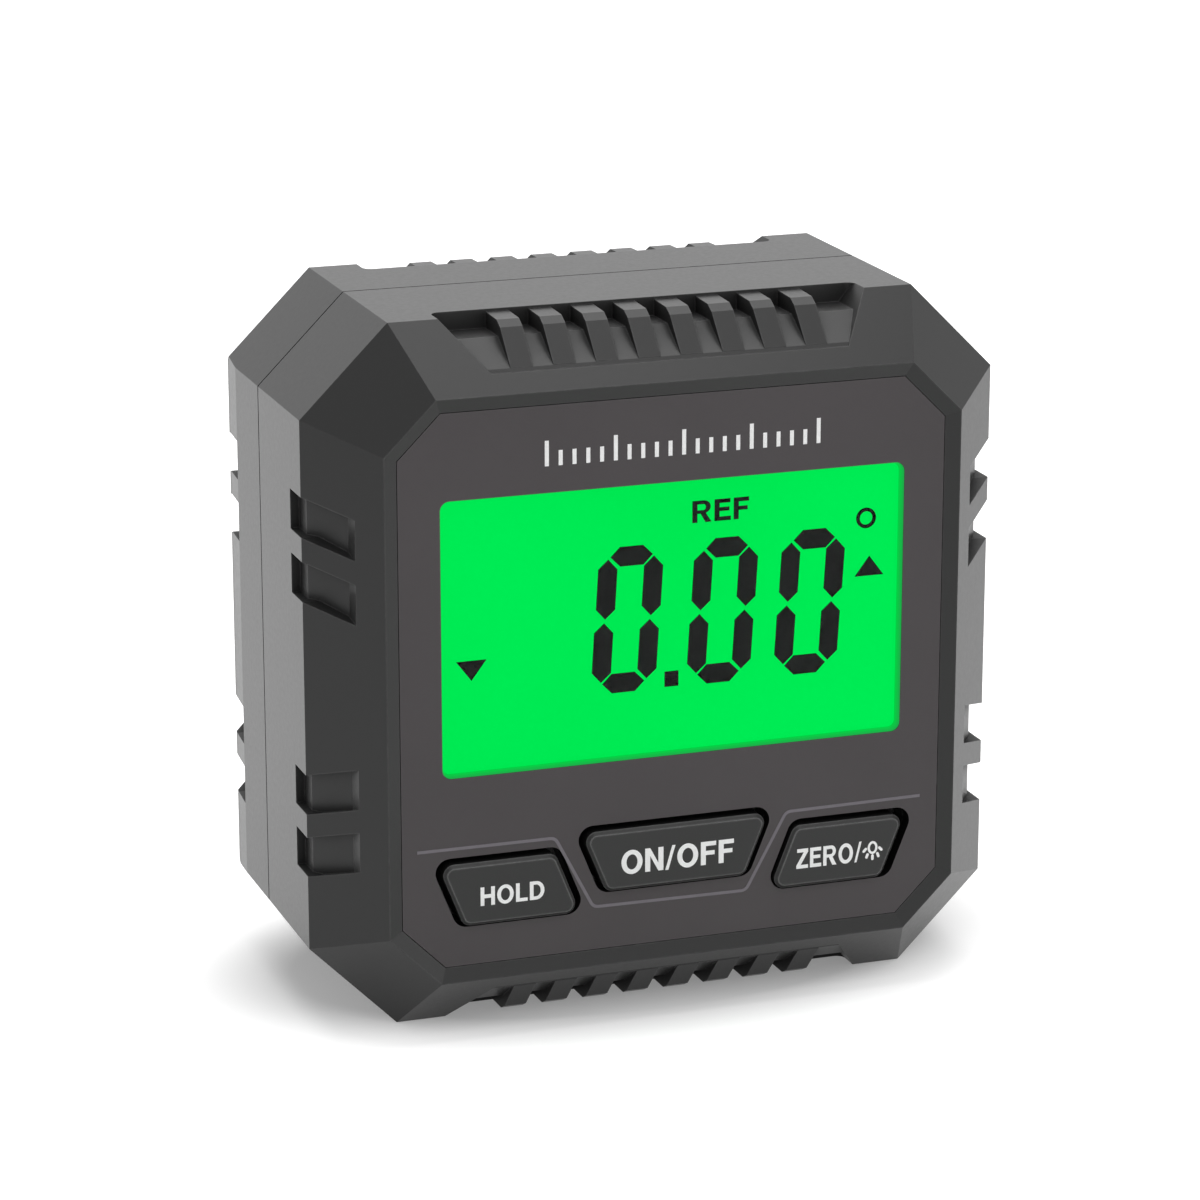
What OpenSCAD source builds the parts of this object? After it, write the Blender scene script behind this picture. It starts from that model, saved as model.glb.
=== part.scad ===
// Digital angle gauge: a square magnetic inclinometer with a lit display,
// three keys and a battery bay behind. The front faces -Y and +Z is up.
// The origin is the centre of the base, half way between front and rear.

/* [Case] */
// Width across the two flat sides
case_w = 60; // [59:0.5:64]
// Height from the base to the top face
case_h = 59.5; // [58.5:0.5:64]
// Depth from the front rim to the rear face
case_d = 35; // [34.5:0.5:40]
// Length that each cut corner takes off a side
corner_cut = 7.4; // [6:0.1:8.4]
// Depth of the front and rear bevels
bevel_d = 5.95; // [5.4:0.05:6.6]
// Width that a bevel takes off each side
bevel_run = 5.2; // [4.8:0.1:5.5]
// Distance of the parting line behind the middle of the depth
part_back = 1; // [0:0.25:2]
// Thickness of the moulded walls
wall_t = 2.2; // [1.8:0.1:2.5]
// Width of the fine groove along the parting line
seam_w = 0.2; // [0.1:0.05:0.4]
// Depth of the fine groove along the parting line
seam_d = 0.25; // [0.1:0.05:0.4]
// Thickness of the tongue that laps behind the parting line
tongue_t = 0.9; // [0.7:0.1:1.1]
// Length of the tongue that laps behind the parting line
tongue_l = 1.5; // [1:0.1:2]

/* [Face] */
// Depth of the face panel below the front rim
face_recess = 0.6; // [0.5:0.05:0.8]
// Width of the sloping band between the rim and the panel
band_w = 1.2; // [0.8:0.1:1.5]
// Thickness of the face panel
plate_t = 1.2; // [1:0.1:1.5]
// Thickness of the case wall behind the panel
front_wall_t = 2; // [1.8:0.1:2.2]
// Distance from the case's sides to the display window
window_side = 9.95; // [9.7:0.05:11]
// Distance from the case's top to the display window
window_top = 13.65; // [13.4:0.05:14.5]
// Distance from the case's base to the display window
window_foot = 22.6; // [22.4:0.05:23.4]
// Corner radius of the window
window_r = 0.8; // [0.4:0.1:1.5]
// Thickness of the clear lens, bonded in behind the panel
lens_t = 0.5; // [0.4:0.05:0.6]
// Width of the lens's edge behind the panel
lens_edge_w = 0.9; // [0.6:0.1:1]

/* [Keys] */
// Height that a key stands proud of the face panel
key_proud = 0.55; // [0.3:0.05:0.6]
// Travel of a key
key_travel = 0.35; // [0.2:0.05:0.4]
// Height of the two outer keys
side_key_h = 5.4; // [5.2:0.05:5.7]
// Height of the middle key
power_key_h = 5.3; // [5:0.05:5.5]
// Height of the outer keys' centre line above the base
side_key_up = 12.65; // [12.4:0.05:12.9]
// Height of the middle key's centre line above the base
power_key_up = 14.15; // [13.9:0.05:14.3]
// Distance from the middle to the inner side of an outer key, at its centre line
side_key_in = 9.45; // [9.4:0.05:9.8]
// Distance from the case's side to an outer key, at its centre line
side_key_side = 10.5; // [9.9:0.05:10.9]
// Half width of the middle key at its centre line
power_half = 7.2; // [6.9:0.05:7.3]
// Sideways lean of the keys' slanted sides over their height
key_lean = 2.15; // [1.9:0.05:2.4]
// Corner radius of the keys
key_r = 0.9; // [0.6:0.05:1]
// Rounded edge of the keys' faces
key_edge = 0.3; // [0.15:0.05:0.4]
// Gap beside the keys' slanted sides
key_gap_side = 0.6; // [0.5:0.02:0.64]
// Gap above and below the keys
key_gap_end = 0.32; // [0.24:0.02:0.4]
// Width of the flange that keeps a key behind the wall
key_flange_w = 0.4; // [0.3:0.05:0.5]
// Thickness of the flange that keeps a key behind the wall
key_flange_t = 0.8; // [0.6:0.05:0.9]

/* [Grips] */
// Number of ribs in each grip
grip_ribs = 8; // [6:1:8]
// Distance from the end of a grip to its first rib
rib_end_gap = 4.8; // [4.5:0.05:5]
// Width of a rib
rib_w = 1.9; // [1.6:0.02:2]
// Distance from the case's sides to a grip, along the top face
grip_side = 11.6; // [11:0.1:12]
// Length that a grip's ends lean inwards down the bevel
grip_taper = 3.1; // [2.6:0.1:3.4]
// Depth of the grip's flat floor below the top face
grip_depth = 1.57; // [1.4:0.01:1.7]
// Reach of the grip along the top face behind the bevel
grip_reach = 2.4; // [2:0.05:2.6]
// Distance from the front rim to the grip's narrow end
grip_front = 1.6; // [1.5:0.05:1.8]
// Wall left behind a grip's floor
grip_wall_t = 1.5; // [1.3:0.05:1.6]
// Corner radius at the back of a grip, seen from above
grip_r = 0.8; // [0.5:0.1:1.2]

/* [Side notches] */
// Height of a notch along the side
notch_h = 3.35; // [3:0.05:3.5]
// Depth of a notch
notch_d = 0.75; // [0.6:0.05:0.95]
// Distance from the case's centre to the middle of the inner notches
notch_in_z = 9; // [8.8:0.05:9.2]
// Distance from the case's centre to the middle of the outer notches
notch_out_z = 14.35; // [14.1:0.05:14.5]
// Length of a notch on the flat side
notch_back = 3.2; // [2.8:0.1:3.4]
// Length of a notch down the bevel
notch_front = 5.1; // [4.6:0.1:5.3]
// Length of the slope at a notch's front end
notch_slope = 1.1; // [0.6:0.1:1.4]
// Distance that a notch's floor stays level behind the bevel before it turns down
notch_level = 1; // [0.6:0.1:1.4]
// Drift of a notch towards the middle as it goes down the bevel
notch_drift = 1.25; // [1:0.05:1.4]
// Inward taper of the sides over the length of the rear notches
side_taper = 0.25; // [0.1:0.05:0.4]

/* [Display] */
// Width of the display glass hidden behind the panel, on each side of the window
lcd_edge_w = 1.5; // [1.3:0.05:1.6]
// Thickness of each of the two display glasses
glass_t = 1; // [0.8:0.05:1]
// Height of the contact ledge below the front glass
ledge_h = 2.2; // [1.6:0.1:2.2]
// Height of a digit
digit_h = 12.35; // [11.5:0.05:12.4]
// Width of a digit
digit_w = 5.6; // [5.2:0.05:5.7]
// Width of a digit's bars
bar_w = 1.64; // [1.4:0.02:1.7]
// Gap between the bars of a digit
bar_gap = 0.32; // [0.2:0.02:0.4]
// Lean of a digit over its height
digit_lean = 0.72; // [0.4:0.02:1]
// Thickness of the dark display segments
ink_t = 0.08; // [0.05:0.01:0.1]
// Distance that the light guide stays inside the display glass on each side
guide_inset = 0.55; // [0.4:0.05:0.9]
// Thickness of the light guide with its frame
guide_t = 3; // [2.8:0.05:3]
// Wall of the white frame round the light guide
guide_frame_t = 0.8; // [0.6:0.05:0.9]

/* [Board] */
// Distance from the case's sides to the circuit board
board_side = 4.4; // [4.2:0.1:4.8]
// Distance from the case's top to the circuit board
board_top = 8.25; // [8.05:0.05:8.5]
// Distance from the case's base to the circuit board
board_foot = 6.25; // [6.05:0.05:6.5]
// Corner cut of the board
board_cut = 5; // [4.8:0.1:5.6]
// Thickness of the board
board_t = 1.2; // [1:0.1:1.4]
// Side of a square key switch
switch_w = 5.2; // [4.8:0.1:5.4]
// Height of a key switch
switch_h = 1.5; // [1.4:0.05:1.5]
// Diameter of a switch plunger
plunger_d = 2; // [1.8:0.1:2.2]
// Height of a plunger above its switch
plunger_up = 0.45; // [0.42:0.01:0.5]
// Side of the controller chip
mcu_w = 10; // [8:0.5:12]
// Height of the controller chip
mcu_t = 1.4; // [1:0.1:1.6]
// Side of the tilt sensor
sensor_w = 4; // [3:0.5:5]
// Height of the tilt sensor
sensor_t = 1.2; // [1:0.1:1.5]
// Length of the timing crystal
crystal_l = 8; // [6:0.5:9]
// Diameter of the timing crystal
crystal_d = 3; // [2:0.1:3.2]
// Diameter of the sounder
sounder_d = 9; // [8:0.5:10]
// Height of the sounder
sounder_h = 4.5; // [4:0.1:5]

/* [Battery bay] */
// Diameter of a cell
cell_d = 10.5; // [10.2:0.1:10.5]
// Gap between the two cells
cell_gap = 0.7; // [0.5:0.1:0.9]
// Diameter of a cell's button
cell_button_d = 3.8; // [3.4:0.1:4]
// Length of a cell's button
cell_button_l = 0.8; // [0.6:0.1:1]
// Distance from the case's sides to the inside of the bay
bay_side = 5.3; // [5.2:0.05:5.5]
// Room for a battery spring between a cell and its contacts
spring_l = 4.1; // [3.8:0.1:5]
// Thickness of the bay's own walls
bay_wall_t = 1.2; // [1:0.1:1.4]
// Width of the ledge that carries the battery door's ends
door_end_ledge = 0.85; // [0.6:0.05:0.95]
// Width of the ledge that carries the battery door's long sides
door_side_ledge = 1.45; // [1.2:0.05:1.65]
// Thickness of the battery door
door_t = 1.6; // [1.4:0.05:1.7]
// Gap round the battery door
door_gap = 0.15; // [0.1:0.05:0.25]
// Width of each of the door's two hooks
hook_w = 7; // [5:0.5:8]
// Length of the door's hooks
hook_l = 1; // [0.8:0.05:1]
// Thickness of the door's hooks
hook_t = 0.8; // [0.6:0.05:0.8]
// Distance between the middles of the two hooks
hook_pitch = 28; // [24:1:32]
// Width of the door's latch finger
latch_w = 12; // [10:0.5:14]
// Length of the slits beside the latch finger
latch_slit_l = 5; // [4:0.25:6]
// Width of the slits beside the latch finger
latch_slit_w = 0.8; // [0.6:0.1:1]
// Thickness of the contact plates
contact_t = 0.4; // [0.3:0.05:0.5]
// Wire thickness of the battery springs
spring_wire = 0.5; // [0.4:0.05:0.6]
// Diameter of a battery spring at its wide end
spring_d = 6.4; // [5.6:0.1:7]
// Diameter of a battery spring at its narrow end
spring_tip_d = 3.6; // [3.2:0.1:4]
// Turns of a battery spring
spring_turns = 4; // [3:0.5:5]

/* [Base magnets] */
// Material left beside a magnet
magnet_wall = 0.45; // [0.4:0.05:0.8]
// Thickness of a magnet
magnet_t = 2.4; // [1.8:0.1:2.4]
// Distance between the two magnets of a row
magnet_pitch = 26; // [22:1:30]
// Depth of a magnet's face below the base
magnet_sunk = 0.1; // [0.05:0.05:0.2]

/* [Screws] */
// Distance of the case screws from the case's sides
screw_side = 10; // [9.8:0.1:10.4]
// Distance of the case screws from the top and the base
screw_end = 9.15; // [8.95:0.05:9.35]
// Diameter of a case screw's shank
screw_d = 1.9; // [1.7:0.05:2]
// Diameter of a case screw's head
screw_head_d = 4; // [3.6:0.1:4]
// Height of a case screw's head
screw_head_t = 1.5; // [1.2:0.1:1.7]
// Length of a case screw below its head
screw_l = 8; // [7:0.25:9]
// Diameter of the screw bosses in the front half
boss_d = 4.8; // [4.2:0.1:5]
// Diameter of the screw towers in the rear half
tower_d = 6.2; // [6:0.1:6.4]
// Material under the head of a case screw
seat_t = 3; // [2.4:0.1:3.4]
// Diameter of a board screw's shank
board_screw_d = 1.5; // [1.3:0.05:1.6]
// Diameter of a board screw's head
board_screw_head_d = 2.8; // [2.4:0.1:3]
// Height of a board screw's head
board_screw_head_t = 1; // [0.8:0.05:1.2]
// Length of a board screw below its head
board_screw_l = 4; // [3.5:0.1:4.2]

/* [Hidden] */

// Roundness of the turned and drilled forms
round_fn = 48;
// Roundness of the keys' corners
corner_fn = 32;
// Overrun of every cut past the face that it opens
over = 1;
// Bite of a moulded rib or boss into the wall that carries it
bite = 0.4;
// Running gap between a pressed or dropped-in piece and its seat
fit_gap = 0.05;
// Loose gap round pieces that are dropped in
loose_gap = 0.3;

// Places along the depth, from the front rim to the rear face
y_front = -case_d / 2;
y_rear = case_d / 2;
y_part = part_back;
y_panel = y_front + face_recess;
y_panel_back = y_panel + plate_t;
y_wall_back = y_panel_back + front_wall_t;
mid_z = case_h / 2;

// Sizes that follow the case's outline
window_w = case_w - 2 * window_side;
window_h = case_h - window_top - window_foot;
window_z = (window_foot - window_top) / 2;
lcd_w = window_w + 2 * lcd_edge_w;
lcd_h = window_h + 2 * lcd_edge_w;
guide_w = lcd_w - 2 * guide_inset;
guide_h = lcd_h - 2 * guide_inset;
side_key_out = case_w / 2 - side_key_side;
side_key_z = mid_z - side_key_up;
power_key_z = mid_z - power_key_up;
grip_w = case_w - 2 * grip_side;
grip_low_w = grip_w - 2 * grip_taper;
rib_pitch = (grip_w - 2 * rib_end_gap - rib_w) / (grip_ribs - 1);
board_w = case_w - 2 * board_side;
board_h = case_h - board_top - board_foot;
board_low = (board_top - board_foot) / 2;
bay_w = case_w - 2 * bay_side;
cell_l = bay_w - 2 * contact_t - spring_l;
cell_pitch = cell_d + cell_gap;
screw_x = case_w / 2 - screw_side;
screw_z = case_h / 2 - screw_end;

// Angle of the bevels from the case's sides
bevel_angle = atan(bevel_run / bevel_d);
// Distance from the middle to each flat of the outline: side, corner, top
reach_side = case_w / 2;
reach_top = case_h / 2;
reach_corner = (reach_side + reach_top - corner_cut) / sqrt(2);
reaches = [reach_side, reach_corner, reach_top, reach_corner];
// Length that runs right through the case in every direction
through = case_w + case_h + case_d;

// Inset of the outline, at depth d behind a rim, for a wall t thick under the bevel
function bevel_inset(d, t) = t / cos(bevel_angle) + (bevel_d - d) * tan(bevel_angle);
// Depth behind a rim at which a wall t thick turns from the bevel to the side
function turn_depth(t) = bevel_d + t * tan(bevel_angle / 2);

// A solid with the case's eight-sided outline. Each [y, inset] pair says how far
// the outline lies inside the case's own at that depth.
module octagon_solid(section) {
    intersection_for (k = [0 : 3])
        rotate([0, 45 * k, 0])
            linear_extrude(height = 2 * through, center = true)
                polygon(concat(
                    [for (s = section) [reaches[k] - s[1], s[0]]],
                    [for (i = [len(section) - 1 : -1 : 0])
                        [section[i][1] - reaches[k], section[i][0]]]));
}

// The case's outer form
outer_section = [[y_front, bevel_run], [y_front + bevel_d, 0],
                 [y_rear - bevel_d, 0], [y_rear, bevel_run]];

// Everything between two depths
module depth_slice(y0, y1) {
    translate([-through, y0, -through])
        cube([2 * through, y1 - y0, 2 * through]);
}

// Children at the four places (+-x, +-z), without turning them
module at_four(x, z) {
    for (sx = [-1, 1], sz = [-1, 1])
        translate([sx * x, 0, sz * z])
            children();
}

// A cylinder along +Y from y0 to y1
module y_rod(d, y0, y1, fn = round_fn) {
    translate([0, y0, 0])
        rotate([-90, 0, 0])
            cylinder(d = d, h = y1 - y0, $fn = fn);
}

// A cylinder along +X from x0 to x1
module x_rod(d, x0, x1, fn = round_fn) {
    translate([x0, 0, 0])
        rotate([0, 90, 0])
            cylinder(d = d, h = x1 - x0, $fn = fn);
}

// A block centred on x = 0 and z = 0, from y0 to y1
module y_block(w, h, y0, y1) {
    translate([-w / 2, y0, -h / 2])
        cube([w, y1 - y0, h]);
}

// A front view extruded from y0 back to y1. The view's second coordinate is Z.
module front_view(y0, y1) {
    translate([0, y1, 0])
        rotate([90, 0, 0])
            linear_extrude(height = y1 - y0)
                children();
}

// A rectangle with round corners, in front view
module rounded_view(w, h, r) {
    hull()
        for (sx = [-1, 1], sz = [-1, 1])
            translate([sx * (w / 2 - r), sz * (h / 2 - r)])
                circle(r = r, $fn = corner_fn);
}

// Grips

// Depth of a grip's floor where it turns down into the gutter at its narrow end
grip_step = 0.1;
// Distance from the narrow end to where the floor turns down
grip_facet = 0.42;
// Depth of the gutter below the edge of the narrow end
gutter_low = 0.15;
// Depth of a rib's flat top below the top face at its back and at its bend
rib_back_low = 0.2;
rib_bend_low = 0.3;
// Distance that a rib's bend lies in front of the edge between top face and bevel
rib_bend_out = 0.85;
// Size of the small facet that eases a rib's bend
rib_ease = 0.45;
// Height of the bevel's surface, down from the top face, at depth d behind the rim
function bevel_low(d) = (bevel_d - d) * bevel_run / bevel_d;
grip_back = bevel_d + grip_reach;
grip_facet_end = grip_front + grip_facet;
grip_end_low = bevel_low(grip_front);
grip_facet_low = bevel_low(grip_facet_end) + grip_step;
grip_bend = bevel_d - rib_bend_out + fit_gap;

// Places on a grip's side view: [depth behind the rim, height below the top face]
grip_view = [[grip_front, grip_end_low], [grip_front + fit_gap, grip_end_low + gutter_low],
             [grip_facet_end, grip_facet_low],
             [grip_bend, grip_depth], [grip_back, grip_depth],
             [grip_back, -over], [grip_front, -over]];
rib_slope = (grip_facet_low - fit_gap - rib_bend_low) / (bevel_d - rib_bend_out - grip_facet_end);
rib_view = [[grip_facet_end, grip_facet_low - fit_gap],
            [bevel_d - rib_bend_out - rib_ease, rib_bend_low + rib_ease * rib_slope],
            [bevel_d - rib_bend_out + rib_ease, rib_bend_low], [grip_back + bite, rib_back_low],
            [grip_back + bite, grip_depth + bite], [grip_bend, grip_depth + bite],
            [grip_facet_end, grip_facet_low + bite]];

// A side view of the top front grip, extruded across the width w
module grip_side_view(points, w) {
    translate([-w / 2, y_front, reach_top])
        rotate([90, 0, 90])
            linear_extrude(height = w)
                polygon([for (p = points) [p[0], -p[1]]]);
}

// The hollow of one grip
module grip_hollow() {
    intersection() {
        grip_side_view(grip_view, grip_w);
        front_view(y_front - over, y_front + grip_back + over)
            polygon([[-grip_w / 2, reach_top + over], [grip_w / 2, reach_top + over],
                     [grip_w / 2, reach_top], [grip_low_w / 2, reach_top - grip_end_low],
                     [-grip_low_w / 2, reach_top - grip_end_low],
                     [-grip_w / 2, reach_top]]);
        // Plan with round back corners
        translate([0, 0, reach_top - grip_end_low - over])
            linear_extrude(height = grip_end_low + 2 * over)
                hull() {
                    for (sx = [-1, 1])
                        translate([sx * (grip_w / 2 - grip_r), y_front + grip_back - grip_r])
                            circle(r = grip_r, $fn = corner_fn);
                    translate([-grip_w / 2, y_front - over])
                        square([grip_w, over]);
                }
    }
}

// The ribs of one grip
module grip_rib_row() {
    for (i = [0 : grip_ribs - 1])
        translate([(i - (grip_ribs - 1) / 2) * rib_pitch, 0, 0])
            grip_side_view(rib_view, rib_w);
}

// Children at the top and, mirrored, at the bottom
module top_and_bottom() {
    children();
    mirror([0, 0, 1])
        children();
}

// Side notches

// One notch of the right side, with its middle at height z where it crosses the edge
module notch(z) {
    top = z + notch_h / 2;
    bottom = z - notch_h / 2;
    drift = z > 0 ? -notch_drift : notch_drift;
    edge = y_front + bevel_d;
    // Depths behind the rim, and insets from the side, along the notch's floor
    end_d = bevel_d - notch_front * cos(bevel_angle);
    end_in = notch_front * sin(bevel_angle);
    foot_d = end_d + notch_slope * cos(bevel_angle) + notch_d * sin(bevel_angle);
    foot_in = end_in - notch_slope * sin(bevel_angle) + notch_d * cos(bevel_angle);
    intersection() {
        // Plan of the floor: level behind the edge, then down along the bevel
        translate([0, 0, bottom - notch_drift])
            linear_extrude(height = notch_h + 2 * notch_drift)
                polygon([[reach_side + over, edge + notch_back],
                         [reach_side - notch_d, edge + notch_back],
                         [reach_side - notch_d, edge + notch_level],
                         [reach_side - foot_in, y_front + foot_d],
                         [reach_side - end_in, y_front + end_d],
                         [reach_side + over, y_front + end_d]]);
        // Side view of the band between the notch's two long edges
        rotate([90, 0, 90])
            linear_extrude(height = through)
                polygon([[edge + notch_back + over, bottom], [edge + notch_back + over, top],
                         [edge, top], [y_front + end_d, top + drift],
                         [y_front + end_d - over, top + drift],
                         [y_front + end_d - over, bottom + drift],
                         [y_front + end_d, bottom + drift], [edge, bottom]]);
    }
}

// All eight front notches, on both sides
module notches() {
    for (side = [0, 1])
        mirror([side, 0, 0])
            for (z = [-notch_out_z, -notch_in_z, notch_in_z, notch_out_z])
                notch(z);
}

// Keys

// Corners of a key in front view. It spans x0 to x1 at its centre line, and its
// sides lean outwards to the top by lean0 and lean1 over its height.
function key_corners(x0, x1, h, lean0, lean1) =
    [[x0 + lean0 / 2, h / 2], [x1 + lean1 / 2, h / 2],
     [x1 - lean1 / 2, -h / 2], [x0 - lean0 / 2, -h / 2]];

// Front view of a key grown by side and end gaps, as a hull of its round corners
module key_view(k, side, end) {
    grown = key_corners(k[0] - side, k[1] + side, k[2] + 2 * end,
                        k[3] * (k[2] + 2 * end) / k[2], k[4] * (k[2] + 2 * end) / k[2]);
    r = key_r + end;
    // Circles touch both sides that meet at their corner
    hull()
        for (i = [0 : 3]) {
            low = i > 1 ? 1 : -1;
            right = i == 1 || i == 2 ? 1 : -1;
            lean = right > 0 ? k[4] : k[3];
            tilt = atan(lean / k[2]);
            shift = r / cos(tilt) - low * right * r * tan(tilt);
            translate([grown[i][0] - right * shift, grown[i][1] + low * r])
                circle(r = r, $fn = corner_fn);
        }
}

// Each key: [x0, x1, height, lean of its left side, lean of its right side, z,
// sideways place of its hole against its cap]
zero_hole_shift = 0.36;
// Height of the holes' middles above the caps' middles
key_hole_up = 0.14;
hold_shape = [-side_key_out, -side_key_in, side_key_h, -key_lean, -key_lean, -side_key_z, 0];
zero_shape = [side_key_in, side_key_out, side_key_h, key_lean, key_lean, -side_key_z,
              zero_hole_shift];
power_shape = [-power_half, power_half, power_key_h, -key_lean, key_lean, -power_key_z, 0];
key_shapes = [hold_shape, power_shape, zero_shape];

// Depths of a key, its flange, its switch and the board
y_key = y_panel - key_proud;
y_flange = y_wall_back + fit_gap;
y_flange_back = y_flange + key_flange_t;
y_lcd = y_panel_back + 2 * fit_gap + ink_t;
y_guide = y_lcd + 2 * glass_t;
y_board = y_guide + guide_t + loose_gap;
y_board_back = y_board + board_t;
y_switch = y_board - switch_h;
y_plunger = y_switch - plunger_up;
post_d = 2.6;

function key_middle(k) = (k[0] + k[1]) / 2;

module key_holes(y0, y1) {
    for (k = key_shapes)
        translate([k[6], 0, k[5] + key_hole_up])
            front_view(y0, y1)
                key_view(k, key_gap_side, key_gap_end);
}

module key(k) {
    translate([0, 0, k[5]]) {
        hull() {
            front_view(y_key + key_edge, y_panel_back)
                key_view(k, 0, 0);
            front_view(y_key, y_key + key_edge)
                key_view(k, -key_edge, -key_edge);
        }
        front_view(y_panel_back - bite, y_flange + bite)
            key_view(k, -fit_gap, -fit_gap);
        translate([k[6], 0, key_hole_up])
            front_view(y_flange, y_flange_back)
                key_view(k, key_gap_side + key_flange_w, key_gap_end + key_flange_w);
        translate([key_middle(k), 0, 0])
            y_rod(post_d, y_flange_back - bite, y_plunger);
    }
}

module hold_key() { color([0.22, 0.22, 0.22]) translate([0, 0, mid_z]) key(hold_shape); }
module power_key() { color([0.22, 0.22, 0.22]) translate([0, 0, mid_z]) key(power_shape); }
module zero_key() { color([0.22, 0.22, 0.22]) translate([0, 0, mid_z]) key(zero_shape); }

// Case

// Half heights of the hollow under the grips
hollow_half_h = reach_top - grip_depth - grip_wall_t;
// Board posts: distance from the middle, diameter, and heights of the two rows
board_post_x = board_w / 2 - board_screw_head_d / 2 - fit_gap;
board_post_d = 2 * board_screw_d;
board_post_gap = 1;
board_post_low = -side_key_z + side_key_h / 2 + key_hole_up + key_gap_end + key_flange_w
                 + board_post_d / 2 + board_post_gap;
board_post_high = board_h / 2 - board_low - board_cut - board_screw_head_d;
// Case screw places along the depth
y_screw_seat = y_part + seat_t;
y_screw_tip = y_screw_seat - screw_l;
pilot_d = screw_d + 2 * fit_gap;
web_t = 1.2;

// Rear row of magnets: between the tongue and the rear grip
y_tongue_end = y_part + tongue_l + fit_gap;
y_rear_grip = y_rear - grip_back;
magnet_d = y_rear_grip - y_tongue_end - 2 * magnet_wall;
module magnet_place(row, side) {
    y_row = row < 0 ? (y_front + grip_back + y_part) / 2 : (y_tongue_end + y_rear_grip) / 2;
    translate([side * magnet_pitch / 2, y_row, 0])
        children();
}

module magnet_pocket() {
    translate([0, 0, -over])
        cylinder(d = magnet_d + 2 * fit_gap, h = over + magnet_sunk + magnet_t, $fn = round_fn);
}

module magnet(row, side) {
    color([0.7, 0.7, 0.72])
        magnet_place(row, side)
            translate([0, 0, magnet_sunk])
                cylinder(d = magnet_d, h = magnet_t, $fn = round_fn);
}

// Hollow of the front half, open at the parting line
module front_hollow() {
    intersection() {
        octagon_solid([[y_wall_back, bevel_inset(y_wall_back - y_front, wall_t)],
                       [y_front + turn_depth(wall_t), wall_t],
                       [y_part + over, wall_t]]);
        y_block(through, 2 * hollow_half_h, y_front, y_part + over);
    }
}

// A boss for a case screw, with a web to the top wall
module case_boss() {
    y_rod(boss_d, y_board_back + loose_gap, y_part - fit_gap);
    translate([-web_t / 2, y_board_back + loose_gap, 0])
        cube([web_t, y_part - fit_gap - y_board_back - loose_gap,
              hollow_half_h + bite - screw_z]);
}

module front_case() {
    color([0.27, 0.27, 0.27])
    translate([0, 0, mid_z])
    difference() {
        union() {
            difference() {
                intersection() {
                    octagon_solid(outer_section);
                    depth_slice(y_front, y_part);
                }
                front_hollow();
                // Seat of the face panel, below the sloping band
                octagon_solid([[y_front - over, bevel_run], [y_front, bevel_run],
                               [y_panel, bevel_run + band_w],
                               [y_panel_back, bevel_run + band_w]]);
                top_and_bottom()
                    grip_hollow();
                notches();
            }
            top_and_bottom()
                grip_rib_row();
            // Tongue that laps inside the rear half
            difference() {
                intersection() {
                    octagon_solid([[y_part - bite, wall_t - tongue_t],
                                   [y_part + tongue_l, wall_t - tongue_t]]);
                    y_block(through, 2 * (hollow_half_h + tongue_t),
                            y_part - bite, y_part + tongue_l);
                }
                front_hollow();
                intersection() {
                    octagon_solid([[y_part, wall_t], [y_part + tongue_l + over, wall_t]]);
                    y_block(through, 2 * hollow_half_h, y_part, y_part + tongue_l + over);
                }
            }
            // Bosses for the case screws
            for (sx = [-1, 1])
                translate([sx * screw_x, 0, 0])
                    top_and_bottom()
                        translate([0, 0, screw_z])
                            case_boss();
            // Posts for the board
            for (sx = [-1, 1], z = [board_post_low, board_post_high])
                translate([sx * board_post_x, 0, z])
                    y_rod(board_post_d, y_wall_back - bite, y_board);
        }
        // Opening for the display glass
        translate([0, 0, window_z - ledge_h / 2])
            y_block(lcd_w + 2 * loose_gap, lcd_h + ledge_h + 2 * loose_gap,
                    y_panel_back - over, y_wall_back + over);
        key_holes(y_panel_back - over, y_wall_back + over);
        at_four(screw_x, screw_z)
            y_rod(pilot_d, y_screw_tip - loose_gap, y_part + over);
        for (sx = [-1, 1], z = [board_post_low, board_post_high])
            translate([sx * board_post_x, 0, z])
                y_rod(board_screw_d + 2 * fit_gap, y_board_back - board_screw_l - loose_gap,
                      y_board + over);
        translate([0, 0, -mid_z])
            for (side = [-1, 1])
                magnet_place(-1, side)
                    magnet_pocket();
    }
}

// Battery bay

// Depths of the bay from the rear face
y_door = y_rear - door_t;
cell_y = y_rear - wall_t - 2 * fit_gap - cell_d / 2;
y_bay_floor = cell_y - cell_d / 2 - loose_gap;
bay_h = cell_pitch + cell_d + 2 * loose_gap;
mouth_w = cell_l + 4 * loose_gap;
mouth_h = bay_h - 2 * loose_gap;
door_w = mouth_w + 2 * door_end_ledge;
door_h = mouth_h + 2 * door_side_ledge;
// Lip that holds the door's hooks
hook_lip = door_t - hook_t - door_gap;
ridge_h = 2.4;
ridge_w = 1.6;

// The bay's moulded tray, open to the rear
module bay_tray() {
    difference() {
        y_block(bay_w + 2 * bay_wall_t, bay_h + 2 * bay_wall_t,
                y_bay_floor - bay_wall_t, y_rear - wall_t + bite);
        y_block(bay_w, bay_h, y_bay_floor, y_rear);
    }
    y_block(cell_l - cell_d, ridge_w, y_bay_floor - bite, y_bay_floor + ridge_h);
}

// Slots in the bay's floor for the contacts' solder tails
tail_w = 2;
tail_l = 3.5;
module tail_slot(sx, z) {
    translate([sx * (bay_w / 2 - contact_t / 2), 0, z])
        y_block(contact_t + 2 * fit_gap, tail_w + 2 * fit_gap,
                y_bay_floor - bay_wall_t - over, y_bay_floor + over);
}

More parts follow.
